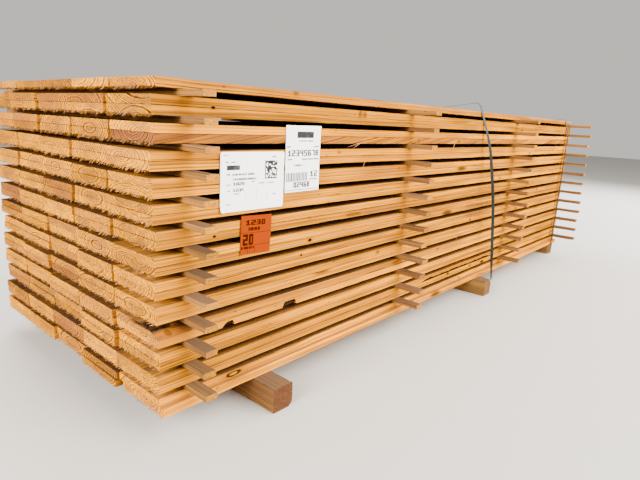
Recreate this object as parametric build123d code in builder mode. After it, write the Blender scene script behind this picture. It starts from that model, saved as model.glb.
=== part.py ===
from build123d import *
import math
import os
import random

os.makedirs("parts", exist_ok=True)

# A strapped bundle of sawn boards on bearers, in millimetres and degrees. +X runs along the boards,
# away from the near end, +Y runs across them, away from the front long side, and +Z is up from the floor.

# Boards
board_length = 3000.0
board_width = 200.0
board_thickness = 22.0
boards_across = 5
board_gap = 3.5
boards_per_course = 2
full_courses = 13

# How far the boards lie out of line, either way. The two boards of a pair, one on the other, were cut
# together and lie nearly flush.
end_stray = 7.0
side_stray = 2.5
gap_stray = 1.5
pair_end_stray = 1.5
pair_side_stray = 0.6

# The single layer on top lies back from the near end and in from the front, and one board at the
# bottom of the front stands out
top_layer_back = 18.0
top_layer_in = 8.0
bottom_board_out = 14.0

# Stickers: thin sticks across the bundle between its courses
sticker_length = 1200.0
sticker_width = 37.0
sticker_thickness = 16.0
sticker_end_stray = 6.0
sticker_side_stray = 4.0
near_sticker_inset = 76.0
second_sticker_inset = 1032.0
third_sticker_inset = 2052.0
far_sticker_inset = 8.0
near_sticker_reach = 84.0
second_sticker_reach = 104.0
third_sticker_reach = 108.0
far_sticker_reach = 135.0

# Bearers under the bundle
bearer_length = 1150.0
bearer_width = 75.0
bearer_height = 75.0
bearer_chamfer = 3.0
near_bearer_inset = 290.0
middle_bearer_inset = 1730.0
far_bearer_inset = 0.0
near_bearer_reach = 101.0
middle_bearer_reach = 75.0
far_bearer_reach = 0.0

# Straps: loose plastic bands that stand off the front
strap_width = 15.0
strap_thickness = 1.0
strap_clearance = 0.3
strap_to_bearer = 3.0
edge_clearance = 2.2
middle_strap_head = 1655.0
middle_strap_lift_off = 290.0
middle_strap_lift_radius = 1200.0
middle_strap_rise = 42.0
middle_strap_bend_in = 12.0
middle_strap_bend_radius = 25.0
middle_strap_edge_radius = 300.0
middle_strap_bow = 69.0
middle_strap_drop = 25.0
middle_strap_loop_radius = 24.0
far_strap_lift_off = 150.0
far_strap_lift_radius = 800.0
far_strap_rise = 9.0
far_strap_bend_in = 3.0
far_strap_bend_radius = 8.0
far_strap_edge_radius = 20.0
far_strap_bow = 15.0
far_strap_drop = 4.0
far_strap_loop_radius = 6.0

# Where each strap bends as it hangs down the front: the share of its bow that it stands out by, the
# share of the boards' height it is down, and the radius
middle_strap_bends = [(0.52, 0.19, 700.0), (0.9, 0.5, 2500.0)]
far_strap_bends = [(1.0, 0.11, 300.0)]

# Labels on the front
label_thickness = 0.4
label_clearance = 0.3
wide_label_size = (211.0, 150.0)
wide_label_corner = 6.0
wide_label_place = (291.5, 237.5)
wide_label_turn = -0.5
tall_label_size = (145.0, 185.0)
tall_label_place = (475.5, 184.5)
tall_label_turn = 1.2
orange_label_size = (107.0, 106.0)
orange_label_place = (302.0, 382.0)
orange_label_turn = -3.5

layer_count = full_courses * boards_per_course + 1
course_pitch = boards_per_course * board_thickness + sticker_thickness
boards_bottom = bearer_height
boards_height = full_courses * course_pitch + board_thickness
boards_top = boards_bottom + boards_height


def stray(reach, number):
    # The same small offset each time for the piece with this number, up to reach either way
    return random.Random(number).uniform(-reach, reach)


def layer_bottom(layer):
    # Height of the underside of a layer, counted from 1 at the bottom
    course, step = divmod(layer - 1, boards_per_course)
    return boards_bottom + course * course_pitch + step * board_thickness


def layer_places(layer):
    # Near front corner of each board in a layer, before the bundle is centred
    course = (layer - 1) // boards_per_course
    top_layer = layer == layer_count
    y = stray(side_stray, 1000 + course) + (top_layer_in if top_layer else 0)
    places = []
    for column in range(boards_across):
        own_number = 4000 + 10 * layer + column
        x = stray(end_stray, 10 * course + column) + stray(pair_end_stray, own_number)
        if top_layer:
            x += top_layer_back
        stands_out = bottom_board_out if layer == 1 and column == 0 else 0
        places.append((x, y + stray(pair_side_stray, own_number + 1000) - stands_out))
        y += board_width + board_gap + stray(gap_stray, 2000 + 10 * course + column)
    return places


layers = {layer: layer_places(layer) for layer in range(1, layer_count + 1)}
back_side = max(places[-1][1] for places in layers.values()) + board_width
top_front = layers[layer_count][0][1]

sticker_columns = [
    (near_sticker_inset, near_sticker_reach),
    (second_sticker_inset, second_sticker_reach),
    (third_sticker_inset, third_sticker_reach),
    (board_length - far_sticker_inset - sticker_width, far_sticker_reach),
]


def sticker_places(column):
    # Near front corner of each sticker in a column, lowest first
    inset, reach = sticker_columns[column]
    places = []
    for level in range(full_courses):
        number = 3000 + 100 * column + level
        x = inset + stray(sticker_side_stray, number)
        y = -reach + stray(sticker_end_stray, number + 50)
        places.append((x, y))
    return places


stickers = [sticker_places(column) for column in range(len(sticker_columns))]

# The frame's origin is on the floor at the middle of everything
near_end = min(x for places in layers.values() for x, y in places)
far_end = max(x for places in layers.values() for x, y in places) + board_length
front_end = min(y for places in stickers for x, y in places)
back_end = max(y for places in stickers for x, y in places) + sticker_length
middle = Vector((near_end + far_end) / 2, (front_end + back_end) / 2, 0)

corner = (Align.MIN, Align.MIN, Align.MIN)

for layer, places in layers.items():
    with BuildPart() as boards:
        for x, y in places:
            with Locations(Vector(x, y, layer_bottom(layer)) - middle):
                Box(board_length, board_width, board_thickness, align=corner)
    name = f"board_layer_{layer:02d}"
    boards.part.label = name
    export_step(boards.part, f"parts/{name}.step")

for number, places in enumerate(stickers, start=1):
    with BuildPart() as sticks:
        for level, (x, y) in enumerate(places, start=1):
            underside = boards_bottom + level * course_pitch - sticker_thickness
            with Locations(Vector(x, y, underside) - middle):
                Box(sticker_width, sticker_length, sticker_thickness, align=corner)
    name = f"sticker_column_{number}"
    sticks.part.label = name
    export_step(sticks.part, f"parts/{name}.step")

far_bearer_x = board_length - far_bearer_inset - bearer_width
bearers = [
    ("bearer_near", near_bearer_inset, near_bearer_reach),
    ("bearer_middle", middle_bearer_inset, middle_bearer_reach),
    ("bearer_far", far_bearer_x, far_bearer_reach),
]
for name, x, reach in bearers:
    with BuildPart() as bearer:
        with Locations(Vector(x, -reach, 0) - middle):
            Box(bearer_width, bearer_length, bearer_height, align=corner)
        chamfer(bearer.edges().filter_by(Axis.Y), length=bearer_chamfer)
    bearer.part.label = name
    export_step(bearer.part, f"parts/{name}.step")


def make_strap(name, head_x, foot_x, lift_off, lift_radius, front_corners):
    # A closed band round the boards in a plane that leans from head_x at their top to foot_x at
    # their underside. It leaves the top as far in from the front edge as lift_off. A front corner
    # is its place in from the front, how far down it is as a share of the boards' height, how much
    # higher than that it stands, and its radius.
    lean = math.atan2(foot_x - head_x, boards_height)
    snug = strap_thickness + strap_clearance
    stand_off = snug + strap_width / 2 * math.sin(lean)
    tall = boards_height / math.cos(lean)
    back = back_side + snug
    corners = [(back, stand_off, snug), (top_front + lift_off, stand_off, lift_radius)]
    for y, share, rise, radius in front_corners:
        corners.append((y, rise - share * tall, radius))
    corners.append((back, -tall - stand_off, snug))
    points = [(y - middle.Y, height) for y, height, radius in corners]
    band_plane = Plane(
        origin=Vector(head_x - middle.X, 0, boards_top),
        x_dir=(0, 1, 0),
        z_dir=(math.cos(lean), 0, math.sin(lean)),
    )
    with BuildPart() as strap:
        with BuildSketch(band_plane):
            with BuildLine():
                FilletPolyline(*points, radius=[radius for y, height, radius in corners], close=True)
            make_face()
            offset(amount=-strap_thickness, mode=Mode.SUBTRACT)
        extrude(amount=strap_width / 2, both=True)
    strap.part.label = name
    export_step(strap.part, f"parts/{name}.step")


# The middle strap lifts off the top, bends over the front edge and hangs well away from the front,
# down to a loop below the boards beside the middle bearer
front_most = min(places[0][1] for places in layers.values())
middle_strap_foot = middle_bearer_inset + bearer_width + strap_to_bearer + strap_width / 2
make_strap(
    "strap_middle",
    middle_strap_head,
    middle_strap_foot,
    middle_strap_lift_off,
    middle_strap_lift_radius,
    [
        (top_front + middle_strap_bend_in, 0, middle_strap_rise, middle_strap_bend_radius),
        (top_front - edge_clearance, 0, 0, middle_strap_edge_radius),
        *[(-out * middle_strap_bow, share, 0, radius) for out, share, radius in middle_strap_bends],
        (-middle_strap_bow, 1, -middle_strap_drop, middle_strap_loop_radius),
    ],
)

# The far strap runs straight down beside the far bearer, over the board that stands out most
far_strap_x = far_bearer_x - strap_to_bearer - strap_width / 2
make_strap(
    "strap_far",
    far_strap_x,
    far_strap_x,
    far_strap_lift_off,
    far_strap_lift_radius,
    [
        (top_front + far_strap_bend_in, 0, far_strap_rise, far_strap_bend_radius),
        (top_front - edge_clearance, 0, 0, far_strap_edge_radius),
        *[(-out * far_strap_bow, share, 0, radius) for out, share, radius in far_strap_bends],
        (front_most - edge_clearance, 1, -far_strap_drop, far_strap_loop_radius),
    ],
)


def front_between(low, high):
    # The furthest forward front face among the layers that a height range crosses
    fronts = []
    for layer, places in layers.items():
        bottom = layer_bottom(layer)
        if bottom < high and bottom + board_thickness > low:
            fronts.append(places[0][1])
    return min(fronts)


def make_label(name, size, place, turn, corner_radius):
    # A sheet flat on the boards, its middle so far from the near end and so far below the top
    width, height = size
    across, down = place
    z = boards_top - down
    y = front_between(z - height / 2, z + height / 2) - label_clearance
    turn_sine = math.sin(math.radians(turn))
    sheet_plane = Plane(
        origin=Vector(across, y, z) - middle,
        x_dir=(math.cos(math.radians(turn)), 0, turn_sine),
        z_dir=(0, -1, 0),
    )
    with BuildPart() as label:
        with BuildSketch(sheet_plane):
            if corner_radius:
                RectangleRounded(width, height, corner_radius)
            else:
                Rectangle(width, height)
        extrude(amount=label_thickness)
    label.part.label = name
    export_step(label.part, f"parts/{name}.step")


make_label("label_wide", wide_label_size, wide_label_place, wide_label_turn, wide_label_corner)
make_label("label_tall", tall_label_size, tall_label_place, tall_label_turn, 0)
make_label("label_orange", orange_label_size, orange_label_place, orange_label_turn, 0)

print(f"middle of the bundle before centring: {middle.X:.3f} {middle.Y:.3f}")
print(f"overall: {far_end - near_end:.1f} x {back_end - front_end:.1f}, boards' top at {boards_top:.1f}")
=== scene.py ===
import math
import random
import bpy
import numpy as np
from mathutils import Color, Matrix, Vector


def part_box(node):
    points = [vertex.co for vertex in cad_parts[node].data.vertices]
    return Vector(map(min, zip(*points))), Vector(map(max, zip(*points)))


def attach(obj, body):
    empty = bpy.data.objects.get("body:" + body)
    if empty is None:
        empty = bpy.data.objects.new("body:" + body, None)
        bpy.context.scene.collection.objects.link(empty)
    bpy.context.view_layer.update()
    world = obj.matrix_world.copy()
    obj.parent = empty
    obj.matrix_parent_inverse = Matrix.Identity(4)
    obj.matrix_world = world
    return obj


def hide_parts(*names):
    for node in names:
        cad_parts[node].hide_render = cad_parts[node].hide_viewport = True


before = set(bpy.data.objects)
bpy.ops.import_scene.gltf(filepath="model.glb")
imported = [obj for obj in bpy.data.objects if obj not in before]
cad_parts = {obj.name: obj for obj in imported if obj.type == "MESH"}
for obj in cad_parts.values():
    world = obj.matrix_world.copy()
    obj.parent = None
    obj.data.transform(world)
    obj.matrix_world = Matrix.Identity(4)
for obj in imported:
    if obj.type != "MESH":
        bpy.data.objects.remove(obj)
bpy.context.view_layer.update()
print("frame loaded")

mm = 0.001
wholeWave = 6.28                # radians
sameCorner = 1e-4               # corners this near each other, in metres, are one
rounding = 1e-6

# the bundle, in millimetres: its places are counted from the boards' near end and their front side
layerCount = 27
boardsAcross = 5
boardLength = 3000.0
boardWidth = 200.0
boardThickness = 22.0
boardsStart = -1505.26
boardsFront = -490.155

# how the film greys and lightens what it is shown, made up for in advance
filmLook = {
    "grey": (0.21, 0.72, 0.07), "greying": 2.0, "greyingRise": 2.1, "most": 0.7,
    "darken": 0.56, "darkenRise": 0.43, "least": 0.001,
}


def asSeen(red, green, blue):
    # the paint that looks like this colour, 0 to 255, once it is lit and filmed
    seen = Color((red / 255, green / 255, blue / 255)).from_srgb_to_scene_linear()
    grey = sum(channel * part for channel, part in zip(seen, filmLook["grey"]))
    share = min(filmLook["greying"] * grey ** filmLook["greyingRise"], filmLook["most"])
    darken = filmLook["darken"] * grey ** filmLook["darkenRise"]
    paint = [max(0.0, (channel - share * grey) / (1 - share)) for channel in seen]
    return tuple(channel * darken + filmLook["least"] for channel in paint) + (1.0,)


def operators(kind):
    # one kind of maths with the wire on the left, and with it on the right
    return (lambda self, other: self.finish.maths(kind, self, other),
            lambda self, other: self.finish.maths(kind, other, self))


class Wire:
    # one output of a node; maths on it adds the Math nodes
    def __init__(self, finish, socket):
        self.finish = finish
        self.socket = socket

    __add__, __radd__ = operators("ADD")
    __sub__, __rsub__ = operators("SUBTRACT")
    __mul__, __rmul__ = operators("MULTIPLY")
    __truediv__, __rtruediv__ = operators("DIVIDE")
    __mod__, __rmod__ = operators("MODULO")
    __pow__, __rpow__ = operators("POWER")
    __gt__, __lt__ = operators("GREATER_THAN")


class Finish:
    # a material and the few ways its nodes are made; the functions below call the one in hand f
    def __init__(self, name):
        self.material = bpy.data.materials.new(name)
        self.material.use_nodes = True
        tree = self.material.node_tree
        self.nodes = tree.nodes
        self.links = tree.links
        self.shader = self.nodes["Principled BSDF"]

    def feed(self, socket, value):
        if isinstance(value, Wire):
            self.links.new(value.socket, socket)
        else:
            socket.default_value = value

    def node(self, kind, settings=None, inputs=None, output=0):
        made = self.nodes.new("ShaderNode" + kind)
        for key, value in (settings or {}).items():
            setattr(made, key, value)
        for key, value in (inputs or {}).items():
            self.feed(made.inputs[key], value)
        return Wire(self, made.outputs[output])

    def maths(self, operation, first, second=0.0):
        return self.node("Math", {"operation": operation}, {0: first, 1: second})

    def vectorMaths(self, operation, first, second, output=0):
        return self.node("VectorMath", {"operation": operation}, {0: first, 1: second}, output)

    def vector(self, x, y, z):
        return self.node("CombineXYZ", None, {"X": x, "Y": y, "Z": z})

    def split(self, wire):
        first = self.node("SeparateXYZ", None, {0: wire})
        return [Wire(self, output) for output in first.socket.node.outputs]

    def attribute(self, name):
        return self.node("Attribute", {"attribute_name": name}, None, "Vector")

    def objectPlace(self):
        return self.node("TexCoord", None, None, "Object")

    def noise(self, place, detail, roughness):
        inputs = {"Vector": place, "Scale": 1.0, "Detail": detail, "Roughness": roughness}
        return self.node("TexNoise", None, inputs, "Fac")

    def stretched(self, place, counts):
        return self.vector(*(part * count for part, count in zip(place, counts)))

    def pattern(self, place, spread):
        # a noise with so many waves in one unit of length along each way, its detail and its roughness
        *counts, detail, roughness = spread
        return self.noise(self.stretched(place, counts), detail, roughness)

    def specks(self, place, counts):
        # how far from the middle of the nearest cell, with so many cells in one unit of length
        inputs = {"Vector": self.stretched(place, counts), "Scale": 1.0}
        return self.node("TexVoronoi", None, inputs, "Distance")

    def smooth(self, value, low, high):
        inputs = {"Value": value, "From Min": low, "From Max": high}
        return self.node("MapRange", {"interpolation_type": "SMOOTHSTEP"}, inputs)

    def mix(self, amount, first, second, blend="MIX"):
        # sockets 0, 6 and 7 are a colour mix's factor and its two colours, and 2 is its result
        settings = {"data_type": "RGBA", "blend_type": blend, "clamp_factor": True}
        return self.node("Mix", settings, {0: amount, 6: first, 7: second}, 2)

    def bump(self, height, strength, distance):
        inputs = {"Height": height, "Strength": strength, "Distance": distance}
        return self.node("Bump", None, inputs)

    def lump(self, place, centre, radii):
        # 0 in the middle of a lump and 1 at its rim
        scaled = self.vectorMaths("MULTIPLY", place, tuple(1 / radius for radius in radii))
        middle = tuple(part / radius for part, radius in zip(centre, radii))
        return self.vectorMaths("DISTANCE", scaled, middle, "Value")

    def end(self, colour, roughness, normal=None, shine=0.5):
        self.feed(self.shader.inputs["Specular IOR Level"], shine)
        self.feed(self.shader.inputs["Base Color"], colour)
        self.feed(self.shader.inputs["Roughness"], roughness)
        if normal:
            self.feed(self.shader.inputs["Normal"], normal)
        return self.material


def between(share, low, high):
    return low + share * (high - low)


# Every stick carries its place in the tree it was sawn from, so the rings on its end run on as
# streaks down its sides. "grain" is that place in metres, x along the trunk and y, z from the pith.
# "tone" is the stick's own lightness, redness and share of heartwood. "marks" is how much it is bark,
# pale splinter, and painted shade where it lies out of the light.

ringLook = {
    "rings": 245.0,             # dark rings in a metre, up or down from the pith
    "flatness": 0.32,           # how much slower they come across the board
    "lines": 165.0,             # dark lines in a metre up a side
    "linesAcross": 48.0,        # and across a board's face
    "wobble": 0.35,             # small waves, in lines
    "unevenYears": 0.4,         # how often the years' width changes, for each line
    "heartPattern": 90.0,       # how much another heart's years differ
    "darkFull": 0.8,            # where in a year its dark wood is full
    "darkEnds": (0.88, 1.0),    # and where it ends
}

# waves in a metre along the trunk, across and up, then the detail and roughness of each pattern
grainPatterns = {
    "wander": (0.7, 5.0, 5.0, 1.5, 0.5),        # the long waves of the lines
    "wobble": (6.0, 45.0, 45.0, 1.0, 0.5),      # and the short ones
    "waver": (3.0, 6.0, 6.0, 2.0, 0.5),         # the whole grain, up and down
    "cloud": (2.2, 9.0, 12.0, 2.0, 0.5),        # darker patches
    "strength": (1.1, 22.0, 75.0, 1.0, 0.5),    # where lines are strong
    "thin": (1.6, 360.0, 360.0, 1.0, 0.5),      # hair lines
    "crack": (1.7, 240.0, 240.0, 1.0, 0.5),
    "ragged": (60.0, 200.0, 200.0, 2.0, 0.6),   # a knot's edge
    "scale": (70.0, 120.0, 120.0, 3.0, 0.65),   # scales of bark and marks of the saw
}
speckCells = (13.0, 42.0, 42.0)                 # specks and small knots in a metre, the same ways
knotCells = (1.9, 7.0, 7.0)

# the values of a pattern between which it comes in
fades = {
    "streak": (0.36, 0.66), "cloud": (0.48, 0.68), "strength": (0.3, 0.62), "fibre": (0.56, 0.8),
    "thin": (0.58, 0.7), "crack": (0.7, 0.76), "speck": (0.03, 0.1), "upward": (0.93, 0.985),
    "dustAndShade": (0.3, 0.7), "shade": (0.2, 0.8), "bark": (0.35, 0.75), "barkScale": (0.35, 0.65),
}

# what a share is multiplied by where its pattern is 0 and where it is 1
swings = {
    "red": (0.6, 1.4),
    "late": (0.7, 5.7),
    "dustAndShade": (0.3, 1.1),
    "shade": (0.9, 1.1),
    "roughness": (0.78, 0.98),
}

# a placed knot: where its stain, rim and core fade, as shares of its size
knotLook = {
    "ragged": 0.5,
    "halo": (0.9, 2.2),
    "haloShare": 0.65,
    "rim": (0.75, 1.05),
    "rimShare": {"core": 0.55, "paleCore": 1.0, "darkCore": 1.0},
    "middle": {"core": (0.3, 0.75), "paleCore": (0.3, 0.6), "darkCore": (0.3, 0.75)},
    "middleShare": 0.85,
}


def treeRings(f, place, heart, look):
    # how far from the pith a place is, and how much it is the dark wood of its year
    x, y, z = place
    wander = f.pattern(place, grainPatterns["wander"]) - 0.5
    wobble = f.pattern(place, grainPatterns["wobble"]) - 0.5
    flatY = y * (ringLook["flatness"] + heart)
    radius = f.maths("SQRT", flatY * flatY + z * z)
    if look["onEnd"]:
        years = radius * ringLook["rings"]
    else:
        years = z * ringLook["lines"] + f.maths("ABSOLUTE", y) * ringLook["linesAcross"]
    own = f.vector(years * ringLook["unevenYears"], heart * ringLook["heartPattern"], 0.0)
    years = years + wander * look["wander"] + wobble * ringLook["wobble"]
    years = years + f.noise(own, 0.0, 0.5) * look["uneven"]
    year = f.maths("FRACT", years)
    late = f.smooth(year, look["darkFrom"], ringLook["darkFull"])
    return radius, late * (1.0 - f.smooth(year, *ringLook["darkEnds"]))


def addKnots(f, colour, place, look, knots):
    # the knots that have a place of their own on the front
    spot = f.objectPlace()
    ragged = (f.pattern(place, grainPatterns["ragged"]) - 0.5) * knotLook["ragged"]
    for centre, radii, core in knots:
        away = f.lump(spot, centre, radii) + ragged
        halo = 1.0 - f.smooth(away, *knotLook["halo"])
        colour = f.mix(halo * knotLook["haloShare"], colour, look["halo"])
        rim = 1.0 - f.smooth(away, *knotLook["rim"])
        colour = f.mix(rim * knotLook["rimShare"][core], colour, look["knot"])
        middle = 1.0 - f.smooth(away, *knotLook["middle"][core])
        colour = f.mix(middle * knotLook["middleShare"], colour, look[core])
    return colour


def makeWood(name, look, knots=()):
    f = Finish(name)
    lightness, redness, heart = f.split(f.attribute("tone"))
    bark, splinter, paintedShade = f.split(f.attribute("marks"))
    x, y, z = f.split(f.attribute("grain"))
    if look["waver"]:
        z = z + (f.pattern((x, y, z), grainPatterns["waver"]) - 0.5) * look["waver"]
    place = (x, y, z)
    radius, late = treeRings(f, place, heart, look)
    fibre = f.pattern(place, look["fibre"])
    streak = f.pattern(place, look["streak"])
    cloud, strength, thin, crack, scale = (
        f.pattern(place, grainPatterns[key]) for key in ("cloud", "strength", "thin", "crack", "scale"))
    crack = f.smooth(crack, *fades["crack"])

    colour = f.mix(f.smooth(streak, *fades["streak"]), look["pale"], look["mid"])
    heartEdge = between(heart, *look["heartReach"])
    inner = 1.0 - f.smooth(radius + (cloud - 0.5) * look["heartWaver"], 0.0, heartEdge)
    colour = f.mix(inner * look["heartShare"], colour, look["heart"])
    colour = f.mix(f.smooth(cloud, *fades["cloud"]) * look["cloudShare"], colour, look["cloud"])
    colour = f.mix(redness * look["redShare"] * between(streak, *swings["red"]), colour, look["red"])
    strong = between(f.smooth(strength, *fades["strength"]), look["lateLeast"], 1.0)
    strong = strong * between(heart, *swings["late"])
    for amount, share, paint in (
        (late * strong, "lateShare", "late"),
        (f.smooth(fibre, *fades["fibre"]), "fibreShare", "late"),
        (f.smooth(thin, *fades["thin"]), "thinShare", "late"),
        (1.0 - f.smooth(f.specks(place, speckCells), *fades["speck"]), "speckShare", "knot"),
        (crack, "crackShare", "dark"),
        (1.0 - f.smooth(f.specks(place, knotCells), *look["knotSize"]), "knotShare", "knot"),
    ):
        colour = f.mix(amount * look[share], colour, look[paint])
    if knots:
        colour = addKnots(f, colour, place, look, knots)

    # upward faces take a greyer, darker colour: partly dust, partly painted shade
    upward = f.split(f.node("NewGeometry", None, None, "Normal"))[2]
    dustAndShadeAmount = f.smooth(upward, *fades["upward"]) * look["dustAndShadeShare"]
    dustAndShadeAmount = dustAndShadeAmount * between(f.smooth(streak, *fades["dustAndShade"]), *swings["dustAndShade"])
    colour = f.mix(dustAndShadeAmount, colour, look["dustAndShade"])
    shade = 1.0 + lightness * look["toneSpread"]
    shade = shade * between(f.smooth(cloud, *fades["shade"]), *swings["shade"])
    colour = f.mix(1.0, colour, f.vector(shade, shade, shade), "MULTIPLY")

    barkColour = f.mix(f.smooth(scale, *fades["barkScale"]), look["barkDark"], look["barkPale"])
    colour = f.mix(f.smooth(bark, *fades["bark"]), colour, barkColour)
    colour = f.mix(splinter, colour, look["splinter"])
    # painted shade: a near black where faces lie against a neighbour, in the gaps and on the dark slivers
    colour = f.mix(paintedShade * look["paintedShadeShare"], colour, look["paintedShade"])

    height = late * look["ringRelief"] + fibre * look["fibreRelief"]
    height = height + scale * look["sawRelief"] - crack * look["crackRelief"]
    normal = f.bump(height, look["relief"], look["reliefDepth"])
    return f.end(colour, between(fibre, *swings["roughness"]), normal, look["shine"])


sideLook = {
    "onEnd": False,
    "pale": asSeen(252, 214, 140), "mid": asSeen(232, 172, 88),
    "streak": (0.8, 75.0, 75.0, 2.0, 0.6),      # patterns, as above
    "fibre": (6.0, 520.0, 520.0, 3.0, 0.6),
    "fibreShare": 0.2, "thinShare": 0.68, "speckShare": 0.8,
    "waver": 0.012,         # metres
    "wander": 2.4,          # how far the lines wave, in lines
    "uneven": 2.6,          # how much wider one year is than another
    "darkFrom": 0.35,       # where in a year its dark wood starts
    "late": asSeen(142, 90, 42), "lateShare": 0.58, "lateLeast": 0.1,
    "heart": asSeen(212, 148, 88), "heartShare": 0.4, "heartReach": (0.004, 0.604), "heartWaver": 0.03,
    "red": asSeen(186, 116, 70), "redShare": 0.85,
    "cloud": asSeen(218, 146, 70), "cloudShare": 0.65,
    "dark": asSeen(78, 48, 26), "crackShare": 0.9,
    "knot": asSeen(96, 60, 34), "knotSize": (0.035, 0.13), "knotShare": 0.85,
    "halo": asSeen(214, 140, 66), "core": asSeen(190, 120, 60),
    "paleCore": asSeen(216, 176, 128), "darkCore": asSeen(52, 34, 22),
    # a greyer, darker colour for upward faces: dust and painted shade
    "dustAndShade": asSeen(158, 124, 88), "dustAndShadeShare": 0.7,
    "toneSpread": 0.26,     # how much lighter or darker one stick is than another
    "barkDark": asSeen(56, 42, 32), "barkPale": asSeen(118, 90, 64),
    "splinter": (0.44, 0.21, 0.1, 1.0),
    # the near black painted as shade between boards, in the gaps and on the dark slivers
    "paintedShade": (0.022, 0.013, 0.009, 1.0), "paintedShadeShare": 0.92,
    "ringRelief": 0.08, "fibreRelief": 0.5, "sawRelief": 0.3, "crackRelief": 1.5,
    "relief": 0.4, "reliefDepth": 0.0012, "shine": 0.0,
}

endLook = dict(
    sideLook, onEnd=True,
    pale=asSeen(254, 217, 158), mid=asSeen(226, 175, 122),
    streak=(0.8, 150.0, 150.0, 2.0, 0.6),
    fibre=(300.0, 300.0, 300.0, 3.0, 0.6),
    fibreShare=0.3, thinShare=0.0, speckShare=0.3,
    waver=0.0, wander=2.0, uneven=2.2, darkFrom=0.5,
    late=asSeen(110, 58, 34), lateShare=1.0, lateLeast=0.75,
    heart=asSeen(212, 150, 104), heartShare=0.6,
    red=asSeen(188, 118, 82), cloud=asSeen(200, 145, 100),
    crackShare=0.4, knotShare=0.3, dustAndShadeShare=0.0, paintedShadeShare=0.0,
    ringRelief=0.3, sawRelief=0.8,
)

stickerLook = dict(
    sideLook,
    pale=asSeen(208, 160, 110), mid=asSeen(182, 133, 88), late=asSeen(130, 86, 54),
    heart=asSeen(178, 126, 84), cloud=asSeen(168, 118, 80), red=asSeen(164, 108, 76),
    dustAndShade=asSeen(146, 116, 90), dustAndShadeShare=1.5, knotShare=0.3,
)

stickerEndLook = dict(endLook, pale=asSeen(234, 194, 142), mid=asSeen(212, 166, 116), lateShare=0.55)

bearerLook = dict(
    sideLook,
    pale=asSeen(208, 168, 122), mid=asSeen(188, 148, 108),
    late=asSeen(108, 76, 50), lateShare=0.6,
    heart=asSeen(170, 126, 86), cloud=asSeen(156, 114, 76), red=asSeen(158, 108, 74),
    dustAndShade=asSeen(150, 124, 102), dustAndShadeShare=1.2, relief=0.8,
)

bearerEndLook = dict(
    endLook,
    pale=asSeen(196, 150, 112), mid=asSeen(172, 124, 90),
    late=asSeen(106, 66, 46), lateShare=0.8,
    heart=asSeen(158, 110, 80), cloud=asSeen(146, 98, 72), red=asSeen(146, 92, 70),
    relief=0.9,
)

# Knots seen on the front: how far from the near end, layer, how far up the board's edge, half length,
# half height, and what their middle is like
knotsSeen = [
    (162, 26, 1.5, 7, 4, "darkCore"), (449, 27, 17, 11, 7, "core"), (733, 26, 11, 9, 10, "core"),
    (757, 26, 10, 9, 9, "core"), (520, 13, 12, 9, 5, "darkCore"), (485, 12, 9, 5, 4, "darkCore"),
    (1109, 23, 10, 11, 8, "core"), (1438, 23, 10, 16, 8, "core"), (983, 20, 11, 8, 4, "core"),
    (1180, 20, 8, 9, 4, "core"), (167, 15, 12, 5, 4, "darkCore"), (1347, 8, 11, 6, 4, "darkCore"),
    (1935, 17, 10, 8, 5, "core"), (233, 2, 11, 31, 8.5, "paleCore"), (2310, 21, 11, 9, 5, "core"),
    (890, 10, 12, 9, 5, "core"), (38, 8, 9, 13, 8, "core"), (1640, 11, 9, 8, 5, "darkCore"),
    (2520, 14, 12, 9, 5, "darkCore"), (767, 15, 9, 12, 4, "core"), (730, 15, 10, 40, 6, "core"),
    (1013, 8, 12, 22, 7, "core"), (1843, 3, 8, 22, 6, "darkCore"), (1473, 3, 16, 12, 4, "darkCore"),
    (1700, 3, 12, 14, 5, "core"), (1596, 2, 10, 9, 4, "core"), (2060, 14, 12, 22, 7, "core"),
    (2210, 11, 9, 18, 6, "core"), (640, 22, 12, 8, 3, "core"), (2150, 25, 10, 12, 6, "core"),
]
knotDepth = 30.0


def boardNode(layer):
    return f"board_layer_{layer:02d}"


def knotLumps():
    lumps = []
    for along, layer, up, halfLong, halfHigh, core in knotsSeen:
        low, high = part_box(boardNode(layer))
        centre = ((boardsStart + along) * mm, low[1], low[2] + up * mm)
        lumps.append((centre, (halfLong * mm, knotDepth * mm, halfHigh * mm), core))
    return lumps


woods = {
    "board": [makeWood("boardSide", sideLook, knotLumps()), makeWood("boardEnd", endLook)],
    "sticker": [makeWood("stickerSide", stickerLook), makeWood("stickerEnd", stickerEndLook)],
    "bearer": [makeWood("bearerSide", bearerLook), makeWood("bearerEnd", bearerEndLook)],
}
print("wood finishes made")


def solidBoxes(nodeName, axis):
    # lowest and highest corner of each separate block in a CAD node, in order along an axis
    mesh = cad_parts[nodeName].data
    points = np.empty(len(mesh.vertices) * 3)
    mesh.vertices.foreach_get("co", points)
    points = points.reshape(-1, 3)
    ordered = np.sort(points[:, axis])
    starts = ordered[np.concatenate(([True], np.diff(ordered) > sameCorner))]
    boxes = []
    for low, high in zip(starts[::2], starts[1::2]):
        inside = points[(points[:, axis] > low - sameCorner) & (points[:, axis] < high + sameCorner)]
        boxes.append((inside.min(axis=0), inside.max(axis=0)))
    return boxes


def addObject(name, data):
    made = bpy.data.objects.new(name, data)
    bpy.context.scene.collection.objects.link(made)
    return made


def makeMesh(name, points, faces, materials, attributes=()):
    mesh = bpy.data.meshes.new(name)
    mesh.from_pydata(points, [], faces)
    for label, rows in attributes:
        layer = mesh.attributes.new(label, "FLOAT_VECTOR", "POINT")
        layer.data.foreach_set("vector", np.asarray(rows, np.float32).ravel())
    for material in materials:
        mesh.materials.append(material)
    mesh.update()
    return addObject(name, mesh)


def standIn(piece, node):
    # the piece takes the place of its CAD node
    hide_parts(node)
    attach(piece, "root")


def tubeFaces(rows, count, start=0, closed=False):
    # four-sided faces between rings of points, one ring after another
    faces = []
    for row in range(rows if closed else rows - 1):
        here, ahead = start + row * count, start + (row + 1) % rows * count
        for index in range(count):
            after = (index + 1) % count
            faces.append([here + index, here + after, ahead + after, ahead + index])
    return faces


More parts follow.
